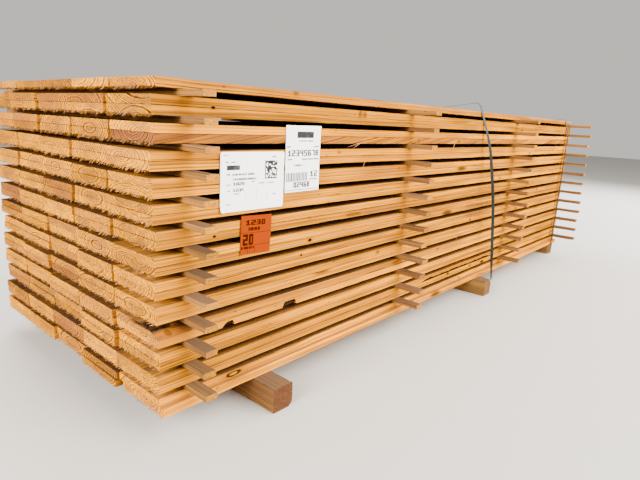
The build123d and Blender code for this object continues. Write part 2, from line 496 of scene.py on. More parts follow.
class Heap:
    # the meshes of one piece, gathered and joined
    def __init__(self):
        self.points = []
        self.faces = []
        self.slots = []
        self.rows = {"grain": [], "tone": [], "marks": []}
        self.count = 0

    def add(self, points, faces, slots, grain, tone, marks):
        self.faces += [[index + self.count for index in face] for face in faces]
        self.slots += slots
        self.points.append(points)
        self.rows["grain"].append(grain)
        self.rows["tone"].append(np.broadcast_to(tone, (len(points), 3)))
        self.rows["marks"].append(marks)
        self.count += len(points)

    def build(self, name, materials):
        attributes = [(label, np.concatenate(rows)) for label, rows in self.rows.items()]
        points = np.concatenate(self.points).tolist()
        piece = makeMesh(name, points, self.faces, materials, attributes)
        piece.data.polygons.foreach_set("material_index", self.slots)
        piece.data.update()
        return piece


def waves(rng, lengths):
    # a smooth wander between 0 and 1, as a function of the place along a stick
    phases = [rng.uniform(0, wholeWave) for _ in lengths]

    def height(a):
        total = sum(np.sin(a * 2 * math.pi / length + phase) for length, phase in zip(lengths, phases))
        return 0.5 + 0.5 * total / len(lengths)
    return height


def around(up, top, bottom, wide, thick):
    # the corners of a section: up the front, over the top, down the back and home underneath
    section = [(0.0, c) for c in up] + [(b, thick) for b in top]
    section += [(wide, c) for c in reversed(up)] + [(b, 0.0) for b in reversed(bottom)]
    return np.array(section)


# how each side of a stick wanders in from its true place: underside, top, front, back
lossWaves = ((2400, 900, 370), (2900, 1100, 430), (2600, 700, 190), (2300, 800, 210))
cutLeast = 0.05                 # a cut shallower than this isn't made
toothMargins = (4.0, 3.0)       # how far from the two edges the notches under an end keep
toothClear = 1                  # and from any other corner
leastDepth = 0.01               # these two keep a division by nothing away
leastDistance = 0.05
toothPower = 1.6                # makes most teeth short
nickPower = 3                   # and most nicks shallow
innerTeeth = 0.25               # the share of a tooth that is left at the innermost ring
skewUp = 0.4                    # how far an end leans up and down, as a share of how far across
pairShadeStart = 2.9                # how far in from the ends the faces between a pair of boards are painted dark as shade
sidesShadeStart = 12.0              # and those against the next column
sidesStation = 26.0             # where that painted shade is full
outsideRedness = 0.35           # how much redder the round outside of the log is
outsideFrom = 0.8               # and how far below a stick's top it starts


class Stick:
    # A sawn stick in its CAD box: sections from end to end, each a little out of true. Lengths here
    # are in millimetres: a along it, b across it from its front or left, c up from its underside.
    def __init__(self, size, look, rng, cuts):
        self.long, self.wide, self.thick = size
        self.look = look
        self.rng = rng
        self.cuts = cuts
        arris = look["arris"]
        up = [arris] + [self.thick * share for share in look["upShares"]] + [self.thick - arris]
        across = [arris] + [b for b in look["acrossPlaces"] if b < self.wide - 2 * arris]
        across.append(self.wide - arris)
        first, last = toothMargins
        notches = [b for b in np.arange(first, self.wide - last, look["toothSpacing"])
                   if min(abs(b - other) for other in across) > toothClear]
        self.underEnd = sorted(across + notches)
        self.section = around(up, across, across, self.wide, self.thick)
        self.endSection = around(up, across, self.underEnd, self.wide, self.thick)
        self.losses = [waves(rng, lengths) for lengths in lossWaves]
        self.teeth = np.array([rng.random() ** toothPower for _ in self.underEnd])[::-1] * look["teeth"]

    def shaped(self, a, corners):
        # the sections at places a: where their corners are, and how much bark is on them
        look, wide, thick = self.look, self.wide, self.thick
        b, c = corners[:, 0], corners[:, 1]
        underLoss, topLoss, frontLoss, backLoss = (loss(a)[:, None] for loss in self.losses)
        underLoss, topLoss = underLoss * look["thickLoss"], topLoss * look["thickLoss"]
        frontLoss, backLoss = frontLoss * look["wideLoss"], backLoss * look["wideLoss"]
        across = frontLoss + b * (wide - frontLoss - backLoss) / wide
        up = underLoss + c * (thick - underLoss - topLoss) / thick
        # nicks along the four long edges
        fromCorner = np.minimum(b, wide - b) + np.minimum(c, thick - c)
        nicks = np.array([[self.rng.random() ** nickPower for _ in b] for _ in a]) * look["nick"]
        nicks = nicks * (fromCorner <= look["arris"] + rounding)
        across = across + nicks * np.where(b < wide / 2, 1.0, -1.0)
        up = up + nicks * np.where(c < thick / 2, 1.0, -1.0)
        bark = np.zeros(across.shape)
        for cut in self.cuts:
            depth, height = (values[:, None] for values in cut["shape"](a))
            cutHere = (height > cutLeast) & (depth > cutLeast)
            share = (b < depth) * np.clip(1 - b / np.maximum(depth, leastDepth), 0, 1) ** cut["bend"]
            fromTop = cut["edge"] == "top"
            shrunk = up * (thick - height) / thick
            up = np.where((b == 0) & cutHere, shrunk if fromTop else height + shrunk, up)
            level = (c == (thick if fromTop else 0)) & cutHere
            up = np.where(level, up + (-height if fromTop else height) * share, up)
            bark = np.where(level & (b < depth + cut["reach"]), cut["bark"](b, a[:, None]), bark)
        return np.stack([np.repeat(a[:, None], len(b), axis=1), across, up], axis=-1), bark

    def body(self):
        start = self.look["ringPlaces"][-1]
        places = set(np.linspace(start, self.long - start, self.look["stations"]))
        places.update((sidesStation, self.long - sidesStation))
        for cut in self.cuts:
            places.update(a for a in cut["stations"] if start < a < self.long - start)
        return self.shaped(np.array(sorted(places)), self.section)

    def endRings(self, sign):
        # the last few sections at an end, the outermost first, notched along the underside
        look, corners = self.look, self.endSection
        inFrom = np.array(look["ringPlaces"][:-1])
        spots, bark = self.shaped(inFrom if sign > 0 else self.long - inFrom, corners)
        teeth = np.zeros(len(corners))
        teeth[-len(self.underEnd) + 1:-1] = self.teeth[1:-1]
        teeth = teeth * np.linspace(1, innerTeeth, len(inFrom))[:, None]
        spots[:, :, 2] += teeth
        spots[:, :, 1] -= teeth * look["toothSlant"]
        skew = self.rng.uniform(-1, 1) * look["endSkew"] * (corners[:, 0] / self.wide - 0.5)
        skew += self.rng.uniform(-1, 1) * look["endSkew"] * skewUp * (corners[:, 1] / self.thick - 0.5)
        spots[0, :, 0] += sign * (look["endInset"] + skew - skew.min())
        return spots, bark

    def faces(self, rows, endRows):
        # the body, the two ends' rings, what joins them, and last the two end faces
        count, endCount = len(self.section), len(self.endSection)
        nearStart, farStart = rows * count, rows * count + endRows * endCount
        faces = [face[::-1] for face in tubeFaces(rows, count)]
        faces += tubeFaces(endRows, endCount, nearStart)
        faces += [face[::-1] for face in tubeFaces(endRows, endCount, farStart)]
        # where each corner of the plain section is among those of the notched one
        match = [int(np.argmin(np.abs(self.endSection - corner).sum(axis=1))) for corner in self.section]
        for bodyRow, start, flip in ((0, nearStart, False), (rows - 1, farStart, True)):
            ring = start + (endRows - 1) * endCount
            for index in range(count):
                after = (index + 1) % count
                first, last = match[index], match[after]
                if last <= first:
                    last += endCount
                face = [bodyRow * count + index, bodyRow * count + after]
                face += [ring + spot % endCount for spot in range(last, first - 1, -1)]
                faces.append(face if flip else face[::-1])
        faces.append([nearStart + index for index in range(endCount)])
        faces.append([farStart + index for index in range(endCount - 1, -1, -1)])
        return faces


def addStick(heap, low, high, look, rng, tone, pith, grainStart, cuts=(), lengthAxis=0,
             paintedShade=(0, 0, 0, 0), gap=None, slope=0.0):
    # the four flags say whether the front, back, underside and top lie against a neighbour; those faces
    # are painted dark as shade
    long, wide, thick = size = (high - low)[[lengthAxis, 1 - lengthAxis, 2]] / mm
    stick = Stick(size, look, rng, cuts)
    parts = [stick.body(), stick.endRings(1), stick.endRings(-1)]
    rows, endRows = len(parts[0][0]), len(parts[1][0])
    spots = np.concatenate([part.reshape(-1, 3) for part, bark in parts])
    faces = stick.faces(rows, endRows)
    slots = [0] * (len(faces) - 2) + [1, 1]
    for centre, radii in look.get("chips", ()):
        away = (spots - np.array(centre)) / np.array(radii)
        distance = np.linalg.norm(away, axis=-1, keepdims=True)
        pushed = np.array(centre) + away / np.maximum(distance, leastDistance) * np.array(radii)
        spots = np.where(distance < 1, pushed, spots)

    grain = spots - np.array([0, pith[0], pith[1]])
    grain[:, 2] += grain[:, 0] * slope
    grain[:, 0] += grainStart
    if lengthAxis == 1:
        faces = [face[::-1] for face in faces]
        points = low + spots[:, [1, 0, 2]] * mm
    else:
        points = low + spots * mm

    # the third mark is painted shade, on faces that lie against a neighbour
    marks = np.zeros((len(spots), 3))
    marks[:, 0] = np.concatenate([bark.ravel() for part, bark in parts])
    sections = [np.tile(stick.section, (rows, 1)), np.tile(stick.endSection, (2 * endRows, 1))]
    b, c = np.concatenate(sections).T
    fromEnd = np.minimum(spots[:, 0], long - spots[:, 0])
    sides = (fromEnd > sidesShadeStart) * (paintedShade[0] * (b == 0) + paintedShade[1] * (b == wide))
    pairs = (fromEnd > pairShadeStart) * (paintedShade[2] * (c == 0) + paintedShade[3] * (c == thick))
    marks[:, 2] = np.maximum(sides, pairs)
    # gap gives the painted shade on the top in the gap above the board
    if gap:
        marks[:, 2] = np.maximum(marks[:, 2], gap(spots[:, 0], b) * (c == thick))
    tones = np.array(tone[:3]) + np.zeros((len(spots), 3))
    tones[:, 1] += outsideRedness * ((c == thick) & (spots[:, 2] < thick - outsideFrom))
    if len(tone) > 3:
        tones[:, :2] += tone[3](spots[:, 0])
    heap.add(points, faces, slots, grain * mm, tones, marks)


sliverLook = {
    "first": (0, 3),            # how far from a board's side the first one is
    "spacing": (3.0, 6.8),
    "width": (1.5, 3.2),
    "widths": (0.7, 1.0, 0.0),  # as shares of that, at its root, middle and tip
    "reach": (3.0, 11.5),
    "tufts": 19.0,              # the higher, the wider are the tufts of long ones
    "tuftShift": 9.0,           # how differently they lie from board to board
    "slant": (0.9, 2.2),
    "root": (1.0, 3.5),
    "out": (0.2, 0.9),          # how far they bend out
    "outs": (0.15, 0.6, 1.0),   # as shares of that, at the same three places
    "thickness": 0.9,
    "inner": 5.0,               # a second row, painted dark as shade, hangs as far in as this
    "shadedShare": 0.45,
    "sliverShade": 0.85,
    "paleness": (0.0, 0.9),
    "inset": 1.5,               # how far from a board's sides they keep
    "sunk": 1.1,                # and how far inside its end they start
}


def addSlivers(heap, low, high, look, rng, tone):
    # the fringe of torn fibre that the saw leaves along the underside of a board's ends
    start, stop = low[1] / mm + look["inset"], high[1] / mm - look["inset"]
    floor = low[2] / mm
    for end, inner in ((-1, 0), (-1, 1), (1, 0), (1, 1)):
        face = low[0] / mm + look["sunk"] if end < 0 else high[0] / mm - look["sunk"]
        y = start + rng.uniform(*look["first"])
        while y < stop:
            tuft = 0.5 + 0.5 * math.sin(y / look["tufts"] + tone[0] * look["tuftShift"]) ** 2
            width = rng.uniform(*look["width"])
            reach = rng.uniform(*look["reach"]) * tuft
            root = 0.0 if inner else rng.uniform(*look["root"])
            slant = rng.uniform(*look["slant"])
            out = rng.uniform(*look["out"])
            spots = []
            for drop, size, push in zip((-root, reach / 2, reach), look["widths"], look["outs"]):
                middle = y + slant * (drop + root)
                depth = face + end * (out * push - inner * look["inner"])
                if size:
                    half = width * size / 2
                    spots.append((depth, middle - half, floor - drop))
                    spots.append((depth, middle + half, floor - drop))
                    depth -= end * look["thickness"]
                spots.append((depth, middle, floor - drop))
            points = np.array(spots)
            faces = [[0, 2, 1], [0, 1, 4, 3], [1, 2, 5, 4], [2, 0, 3, 5], [3, 4, 6], [4, 5, 6], [5, 3, 6]]
            if end > 0:
                faces = [corners[::-1] for corners in faces]
            marks = np.zeros((len(points), 3))
            # some slivers, and the whole inner row, are painted dark as shade; the others are pale torn
            # fibre
            dark = inner or rng.random() < look["shadedShare"]
            marks[:, 1] = 0.0 if dark else rng.uniform(*look["paleness"])
            marks[:, 2] = look["sliverShade"] if dark else 0.0
            slots = [int(not dark)] * len(faces)
            heap.add(points * mm, faces, slots, points * mm, np.array(tone[:3]), marks)
            y += rng.uniform(*look["spacing"]) * (1 + inner)


# long splinters that hang off the front: layer, from along and up, to along and up
hairs = [
    (23, (674.0, 725.0), (776.0, 745.0)), (21, (760.0, 656.0), (785.0, 693.0)),
    (23, (1369.0, 689.0), (1403.0, 739.0)), (10, (1505.0, 304.0), (1544.0, 357.0)),
    (23, (700.0, 721.0), (742.0, 737.0)), (13, (1020.0, 423.0), (1041.0, 440.0)),
]
hairLook = {
    "width": 1.5, "out": 3.0, "gap": 0.2,
    "widths": ((0.0, 0.2), (0.5, 0.8), (1.0, 1.0)),     # how far along, and the share of its width there
}


def addHair(heap, front, start, stop):
    # a thin splinter from its loose end to its root, in front of the boards
    spots = []
    for share, size in hairLook["widths"]:
        along = boardsStart + between(share, start[0], stop[0])
        up = between(share, start[1], stop[1])
        half = hairLook["width"] * size / 2
        out = front - hairLook["out"] * (1 - share) - hairLook["gap"]
        spots += [(along - half, out, up + half), (along + half, out, up - half), (along, out - half, up)]
    points = np.array(spots)
    faces = [[0, 1, 2], [8, 7, 6]]
    for row in (0, 3):
        for index in range(3):
            after = (index + 1) % 3
            faces.append([row + index, row + 3 + index, row + 3 + after, row + after])
    marks = np.zeros((len(points), 3))
    marks[:, 1] = 1.0
    heap.add(points * mm, faces, [0] * len(faces), points * mm, np.zeros(3), marks)


boardLook = {
    "arris": 0.6, "upShares": (0.3, 0.6),
    "acrossPlaces": (5.0, 12.0, 22.0, 36.0, 60.0, 100.0, 150.0),
    "stations": 18, "ringPlaces": (0.0, 3.5, 6.5, 10.0),
    "toothSpacing": 3.1, "toothSlant": 0.7, "teeth": 4.2,
    "pairTeeth": 0.4,       # the share of that on a board that rests on the other of its pair
    "thickLoss": 0.35, "wideLoss": 0.6, "nick": 0.8,
    "endSkew": 1.4, "endInset": 0.3,
}
frontBoardLook = dict(boardLook, stations=90, wideLoss=1.2)

# how boards differ in colour, and how one changes along its length: waves in millimetres, and how much
boardTones = {
    "lightWaves": (1900, 620, 260), "light": 1.2,
    "redWaves": (1500, 480), "red": 0.3, "redFade": 60.0,
    "pairRed": (0.14, 0.28), "ownRed": 0.16, "frontRed": (0, 0.15),
    "pairLight": 0.6, "ownLight": 0.4,
    "heart": (0.0, 0.085), "slantHeart": 0.2,
}
frontRedness = {27: 0.5, 23: 0.6, 24: 0.0, 15: 0.2, 13: 0.2, 8: 0.45, 12: 0.2, 20: 0.3}
# reddish lengths of front boards: layer, from, to, how much more
redLengths = {23: (-200, 700, 0.3), 15: (750, 1014, 0.5), 12: (1557, 1885, 0.5), 13: (1557, 1885, 0.5)}
crossGrain = {(23, 0): -0.17}   # boards whose lines run slantwise up their edge, and how steeply
trunkLength = 60000             # boards come from anywhere along so long a trunk

# where the pith is: in most courses a pair of boards was sawn from the middle of one log
logLook = {
    "centredShare": 0.75, "centredAcross": 38, "centredUp": 4,
    "across": 70, "outside": (12, 30),      # how far above or below the board's middle
}


def toneWander(rng, layer, column):
    # how a board's lightness and redness change along it
    light = waves(rng, boardTones["lightWaves"])
    red = waves(rng, boardTones["redWaves"])

    def change(a):
        redder = boardTones["red"] * (red(a) - 0.5)
        if column == 0 and layer in redLengths:
            start, stop, amount = redLengths[layer]
            fade = boardTones["redFade"]
            redder = redder + amount * np.clip((a - start) / fade, 0, 1) * np.clip((stop - a) / fade, 0, 1)
        return np.stack([boardTones["light"] * (light(a) - 0.5), redder], axis=-1)
    return change


# how the cuts in the edges are shaped, in millimetres, and at how many places along them
pocketLook = {"depth": 6, "barkReach": 9, "rounding": 0.7, "stations": 16}
waneLook = {
    "runOut": 40, "depthRounding": 0.6, "heightRounding": 0.8, "bend": 1.15,
    "bark": (20, 10), "barkReach": 40,      # how far in its bark starts, and over how much it fades in
    "barkEnd": (65, 15),                    # how far along it ends, and over how much it fades out
    "stations": 20, "firstStation": 4,
}
seamLook = {
    "fade": 60, "height": 8.2, "stations": 120,
    "ragged": ((1.3, 47, 0), (1.0, 17.3, 1), (0.9, 7.7, 0)),    # waves: height, length and phase
}


def allBark(b, a):
    return 1.0


def edgePocket(shape, stations):
    return {"shape": shape, "stations": list(stations), "edge": "bottom", "bend": 0, "bark": allBark,
            "reach": pocketLook["barkReach"]}


def bite(start, stop, height, rise, fall):
    # a bark pocket in an edge: it rises over one length, and falls over another
    def shape(a):
        opening = np.minimum(np.clip((a - start) / rise, 0, 1), np.clip((stop - a) / fall, 0, 1))
        return pocketLook["depth"] * (opening > 0), height * opening ** pocketLook["rounding"]
    stations = list(np.linspace(start - 1, stop + 1, pocketLook["stations"]))
    return edgePocket(shape, stations + [start + rise, stop - fall])


def waneAtEnd(length, height, depth):
    # the round outside of the log left on an edge, running out along the board, with bark at its end
    look = waneLook

    def shape(a):
        left = np.clip((length - a) / look["runOut"], 0, 1)
        return depth * left ** look["depthRounding"], height * left ** look["heightRounding"]

    # bark over the wane and the top face behind it; over that top face, in the gap, the dark bark also
    # stands in as painted shade
    def bark(b, a):
        (start, fade), (stop, fadeOut) = look["bark"], look["barkEnd"]
        return np.clip((b - start) / fade, 0, 1) * np.clip((stop - a) / fadeOut, 0, 1)
    stations = list(np.linspace(look["firstStation"], length, look["stations"]))
    return {"shape": shape, "stations": stations, "edge": "top", "bend": look["bend"], "bark": bark,
            "reach": look["barkReach"]}


def splitSeam(start, stop):
    # a ragged gap along an edge, where bark was left on
    def shape(a):
        fade = seamLook["fade"]
        ends = np.clip((a - start) / fade, 0, 1) * np.clip((stop - a) / fade, 0, 1)
        height = seamLook["height"]
        for amount, length, phase in seamLook["ragged"]:
            height = height + amount * np.sin(a / length + phase)
        return pocketLook["depth"] * (ends > 0), height * ends
    return edgePocket(shape, np.linspace(start, stop, seamLook["stations"]))


boardCuts = {
    (4, 0): [splitSeam(1230, 1960)],
    (7, 0): [bite(190, 230, 14, 17, 6), bite(412, 470, 17.5, 9, 8)],
    (8, 0): [waneAtEnd(135, 21.5, 55)],
}

# painted shade on the top of a board in the gap above it, darker further in from the open side
gapLook = {
    "openSide": 0.5, "deep": 25.0,
    "middle": 40.0,         # how far in every board but an outer one counts as
    "nearEnds": 0.84, "endsFade": 60.0,
    "brightTo": 60.0,       # the painted shade lifts again between the near end and the first sticker
    "brightFade": 30.0,
    "lowLayers": 16,        # where it is brightest
    "highBright": 0.5,      # and how bright it is above them
}


def gapShade(layer, column):
    def shade(a, b):
        inFrom = {0: b, boardsAcross - 1: boardWidth - b}.get(column, gapLook["middle"])
        dark = between(np.clip(inFrom / gapLook["deep"], 0, 1), gapLook["openSide"], 1.0)
        fromEnd = np.minimum(a, boardLength - a) - sidesStation
        dark = dark * between(np.clip(fromEnd / gapLook["endsFade"], 0, 1), gapLook["nearEnds"], 1.0)
        if column == 0:
            bright = 1.0 - np.clip((a - gapLook["brightTo"]) / gapLook["brightFade"], 0, 1)
            dark = dark * (1.0 - bright * (1.0 if layer < gapLook["lowLayers"] else gapLook["highBright"]))
        return dark * np.ones_like(a)
    return shade


def pithPlace(layer, column, rng):
    # across from the board's front and up from its underside
    course, step = divmod(layer - 1, 2)
    log = random.Random(7000 + 10 * course + column)
    if layer < layerCount and log.random() < logLook["centredShare"]:
        across = boardWidth / 2 + log.uniform(-logLook["centredAcross"], logLook["centredAcross"])
        up = boardThickness + log.uniform(-logLook["centredUp"], logLook["centredUp"])
        return (across, up - boardThickness * step)
    side = rng.choice((-1, 1))
    across = boardWidth / 2 + rng.uniform(-logLook["across"], logLook["across"])
    return (across, boardThickness / 2 + side * rng.uniform(*logLook["outside"]))


def boardTone(layer, column, rng):
    # lightness, redness, share of heartwood, and how the first two change; a pair's boards are alike
    pair = random.Random(7500 + 10 * ((layer - 1) // 2) + column)
    redness = max(0.0, pair.gauss(*boardTones["pairRed"]) + rng.gauss(0.0, boardTones["ownRed"]))
    if column == 0:
        redness = frontRedness.get(layer, rng.uniform(*boardTones["frontRed"]))
    lightness = boardTones["pairLight"] * pair.uniform(-1, 1) + boardTones["ownLight"] * rng.uniform(-1, 1)
    heart = pair.uniform(*boardTones["heart"])
    if (layer, column) in crossGrain:
        heart = boardTones["slantHeart"]
    return (lightness, min(redness, 1.0), heart, toneWander(rng, layer, column))


def makeBoards(layer):
    node = boardNode(layer)
    heap = Heap()
    topLayer = layer == layerCount
    upper = layer % 2 == 0
    hanging = topLayer or not upper
    boxes = solidBoxes(node, 1)
    for column, (low, high) in enumerate(boxes):
        rng = random.Random(100 * layer + column)
        pith = pithPlace(layer, column, rng)
        tone = boardTone(layer, column, rng)
        look = frontBoardLook if column == 0 else boardLook
        look = dict(look, teeth=look["teeth"] * (1.0 if hanging else look["pairTeeth"]))
        # faces against the next column, and the top of a lower board under its pair, are painted dark as
        # shade
        covered = hanging and not topLayer and (layer, column) != (1, 0)
        grainStart = rng.uniform(0, trunkLength)
        addStick(heap, low, high, look, rng, tone, pith, grainStart,
                 cuts=boardCuts.get((layer, column), ()),
                 paintedShade=(column > 0, column < boardsAcross - 1, upper, covered),
                 gap=gapShade(layer, column) if upper else None,
                 slope=crossGrain.get((layer, column), 0.0))
        if hanging:
            addSlivers(heap, low, high, sliverLook, rng, tone)
    for hairLayer, start, stop in hairs:
        if hairLayer == layer:
            addHair(heap, boxes[0][0][1] / mm, start, stop)
    standIn(heap.build(f"sawn_boards_{layer:02d}", woods["board"]), node)


for layer in range(1, layerCount + 1):
    makeBoards(layer)
print("boards made")


stickLook = {
    "arris": 1.0, "upShares": (0.5,), "acrossPlaces": (9.0, 18.0, 27.0),
    "stations": 14, "ringPlaces": (0.0, 3.5, 7.0),
    "toothSpacing": 4.0, "toothSlant": 0.0, "teeth": 1.0,
    "thickLoss": 0.5, "wideLoss": 1.5, "nick": 1.2,
    "endSkew": 2.6, "endInset": 0.3,
    "pithAcross": (18, 60),     # its middle, and how far either way
    "pithUp": (8, 20, 70),      # its middle, and from how far to how far above or below
    "redness": (0, 0.5), "heart": (0, 0.05),
}


def makeStickers(number):
    node = f"sticker_column_{number}"
    heap = Heap()
    for level, (low, high) in enumerate(solidBoxes(node, 2)):
        rng = random.Random(5000 + 100 * number + level)
        middle, reach = stickLook["pithAcross"]
        across = middle + rng.uniform(-reach, reach)
        middle, *reach = stickLook["pithUp"]
        pith = (across, middle + rng.choice((-1, 1)) * rng.uniform(*reach))
        tone = (rng.uniform(-1, 1), rng.uniform(*stickLook["redness"]), rng.uniform(*stickLook["heart"]))
        addStick(heap, low, high, stickLook, rng, tone, pith, rng.uniform(0, trunkLength), lengthAxis=1)
    standIn(heap.build(f"stickers_{number}", woods["sticker"]), node)


for number in range(1, 5):
    makeStickers(number)
print("stickers made")


bearerShape = {
    "arris": 3.0, "upShares": (0.2, 0.4, 0.6, 0.8),
    "acrossPlaces": (10.0, 20.0, 30.0, 40.0, 50.0, 60.0, 67.0),
    "stations": 60, "ringPlaces": (0.0, 4.0, 9.0),
    "toothSpacing": 4.0, "toothSlant": 0.0, "teeth": 1.5,
    "thickLoss": 0.6, "wideLoss": 2.0, "nick": 2.0,
    "endSkew": 3.0, "endInset": 0.3,
    "pithAcross": (-25, 10), "pithUp": (-60, -20), "heart": 0.05,
}
# node, piece, how red, and where it is chipped: the middle of the chip and its size each way
bearers = [
    ("bearer_near", "bearer_beam_near", 0.8, [((-4, 76, -3), (22, 15, 10)), ((300, 0, 75), (60, 7, 6))]),
    ("bearer_middle", "bearer_beam_middle", 0.0, [((-6, 78, 78), (40, 15, 14))]),
    ("bearer_far", "bearer_beam_far", 0.0, [((500, 0, 75), (80, 8, 7))]),
]

for number, (node, name, redness, chips) in enumerate(bearers):
    heap = Heap()
    low, high = (np.array(corner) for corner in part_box(node))
    rng = random.Random(9000 + number)
    pith = (rng.uniform(*bearerShape["pithAcross"]), rng.uniform(*bearerShape["pithUp"]))
    tone = (0.0, redness, bearerShape["heart"])
    grainStart = rng.uniform(0, trunkLength)
    addStick(heap, low, high, dict(bearerShape, chips=chips), rng, tone, pith, grainStart, lengthAxis=1)
    standIn(heap.build(name, woods["bearer"]), node)
print("bearers made")


strapLook = {
    "dark": (0.007, 0.011, 0.011, 1.0),
    "pale": (0.014, 0.021, 0.021, 1.0),
    "wornAndHighlight": (0.045, 0.058, 0.06, 1.0),      # paler near the top where it bends over the front edge: wear and a painted highlight
    "wornAndHighlightFrom": (0.7, 0.9),                 # how high up, in metres
    "scuffs": (60.0, 60.0, 9.0, 3.0, 0.6),
    "scuffFade": (0.35, 0.7),
    "wornAndHighlightShare": (0.6, 1.2),
    "grooves": 900.0,
    "grooveRelief": 0.3,
    "grooveDepth": 0.0003,
    "roughness": (0.6, 0.8),
    "shine": 0.07,
}
# The middle band hangs loose and turns its flat to the near end on its way down the front. Lengths
# are in millimetres, and along is counted from the boards' near end.
looseBand = {
    "name": "hanging_band",
    "topAlong": 1655.0,         # where it crosses the boards' top
    "footAlong": 1815.5,        # and their underside
    "width": 15.0,
    "thickness": 1.0,
    "snug": 1.3,                # how far its outside stands off the boards
    "liftOff": (290.0, 1200.0),             # where it leaves the top, in from the front edge, and radius
    "overEdge": [(12.0, 42.0, 25.0), (-2.2, 0.0, 300.0)],   # in from the edge, up, and radius
    # down the front: how far out, how far down as a share of the boards' height, more drop, radius
    "downFront": [(35.88, 0.19, 0.0, 700.0), (62.1, 0.5, 0.0, 2500.0), (69.0, 1.0, 25.0, 24.0)],
    "camber": 0.25,
    "camberHalfway": 0.75,
    "turn": 38.0,               # degrees
    "turnsFrom": -440.0,        # only the part that hangs in front of this turns
    "turnsOver": (10.0, 300.0),             # how far below the boards' top the turn starts and is full
    "turnsBack": (700.0, 800.0),
    "step": 12.0,
    "leastSteps": 4,
}


def makeStrapFinish():
    f = Finish("strapBand")
    x, y, z = f.split(f.objectPlace())
    scuff = f.pattern((x, y, z), strapLook["scuffs"])
    colour = f.mix(f.smooth(scuff, *strapLook["scuffFade"]), strapLook["dark"], strapLook["pale"])
    # paler towards the top: wear and a painted highlight
    wornAndHighlight = f.smooth(z, *strapLook["wornAndHighlightFrom"]) * between(scuff, *strapLook["wornAndHighlightShare"])
    colour = f.mix(wornAndHighlight, colour, strapLook["wornAndHighlight"])
    ribs = f.maths("SINE", (y + z) * strapLook["grooves"])
    normal = f.bump(ribs, strapLook["grooveRelief"], strapLook["grooveDepth"])
    return f.end(colour, between(scuff, *strapLook["roughness"]), normal, strapLook["shine"])


def bandLine(look):
    # the band's lean, and its corners in its own plane: across, up from the boards' top, and radius
    boxes = [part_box(boardNode(layer)) for layer in range(1, layerCount + 1)]
    height = (boxes[-1][1].z - boxes[0][0].z) / mm
    edge = boxes[-1][0].y / mm
    back = max(high.y for low, high in boxes) / mm + look["snug"]
    lean = math.atan2(look["footAlong"] - look["topAlong"], height)
    tall = height / math.cos(lean)
    standOff = look["snug"] + look["width"] / 2 * math.sin(lean)
    inFrom, radius = look["liftOff"]
    corners = [(back, standOff, look["snug"]), (edge + inFrom, standOff, radius)]
    corners += [(edge + inFrom, up, radius) for inFrom, up, radius in look["overEdge"]]
    corners += [(boardsFront - out, -share * tall - drop, radius)
                for out, share, drop, radius in look["downFront"]]
    corners.append((back, -tall - standOff, look["snug"]))
    return lean, corners, boxes[-1][1].z / mm


def bentLine(corners, step, leastSteps):
    # points along a closed line of straight runs whose corners are rounded
    points = []
    for index, (across, up, radius) in enumerate(corners):
        here = Vector((across, up))
        before = (Vector(corners[index - 1][:2]) - here).normalized()
        after = (Vector(corners[(index + 1) % len(corners)][:2]) - here).normalized()
        half = before.angle(after) / 2
        centre = here + (before + after).normalized() * radius / math.sin(half)
        arm = here + before * radius / math.tan(half) - centre
        sweep = math.pi - 2 * half
        if before.cross(after) > 0:
            sweep = -sweep
        steps = max(leastSteps, int(abs(sweep) * radius / step))
        for number in range(steps + 1):
            angle = sweep * number / steps
            turned = Vector((arm.x * math.cos(angle) - arm.y * math.sin(angle),
                             arm.x * math.sin(angle) + arm.y * math.cos(angle)))
            points.append(centre + turned)
    filled = []
    for index, point in enumerate(points):
        after = points[(index + 1) % len(points)]
        pieces = max(1, int((after - point).length / step))
        filled += [point.lerp(after, share / pieces) for share in range(pieces)]
    return filled


def eased(value, start, stop):
    share = min(max((value - start) / (stop - start), 0.0), 1.0)
    return share * share * (3 - 2 * share)


def makeLooseBand(finish):
    look = looseBand
    lean, corners, top = bandLine(look)
    line = bentLine(corners, look["step"], look["leastSteps"])
    sideways = Vector((math.cos(lean), 0, math.sin(lean)))

    def inSpace(across, up):
        return Vector((-math.sin(lean) * up, across, math.cos(lean) * up))

    half, thick, camber = look["width"] / 2, look["thickness"], look["camber"]
    shoulder = camber * look["camberHalfway"]
    section = [(-half, 0.0), (-half / 2, shoulder), (0.0, camber), (half / 2, shoulder), (half, 0.0),
               (half, -thick), (0.0, camber - thick), (-half, -thick)]
    points = []
    for index, point in enumerate(line):
        ahead = (line[(index + 1) % len(line)] - line[index - 1]).normalized()
        out = inSpace(ahead.y, -ahead.x)
        turn = 0.0
        if point.x < look["turnsFrom"]:
            turn = eased(-point.y, *look["turnsOver"]) * (1 - eased(-point.y, *look["turnsBack"]))
        turn *= math.radians(look["turn"])
        flat = sideways * math.cos(turn) + out * math.sin(turn)
        face = out * math.cos(turn) - sideways * math.sin(turn)
        middle = Vector((boardsStart + look["topAlong"], 0, top)) + inSpace(*point) - out * thick / 2
        for wide, deep in section:
            spot = middle + flat * wide + face * (deep + thick / 2 - camber)
            points.append(tuple(spot * mm))
    faces = tubeFaces(len(line), len(section), closed=True)
    standIn(makeMesh(look["name"], points, faces, [finish]), "strap_middle")


strapFinish = makeStrapFinish()
makeLooseBand(strapFinish)
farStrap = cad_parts["strap_far"]
farStrap.data.materials.clear()
farStrap.data.materials.append(strapFinish)
print("straps made")


# figures five rows high and three wide, row by row from the top
figureShapes = {
    "0": "111101101101111", "1": "010110010010111", "2": "111001111100111", "3": "111001111001111",
    "4": "101101111001001", "5": "111100111001111", "6": "111100111101111", "7": "111001001001001",
    "8": "111101111101111", "9": "111101111001111",
}
figureRows = 5
figureColumns = 3

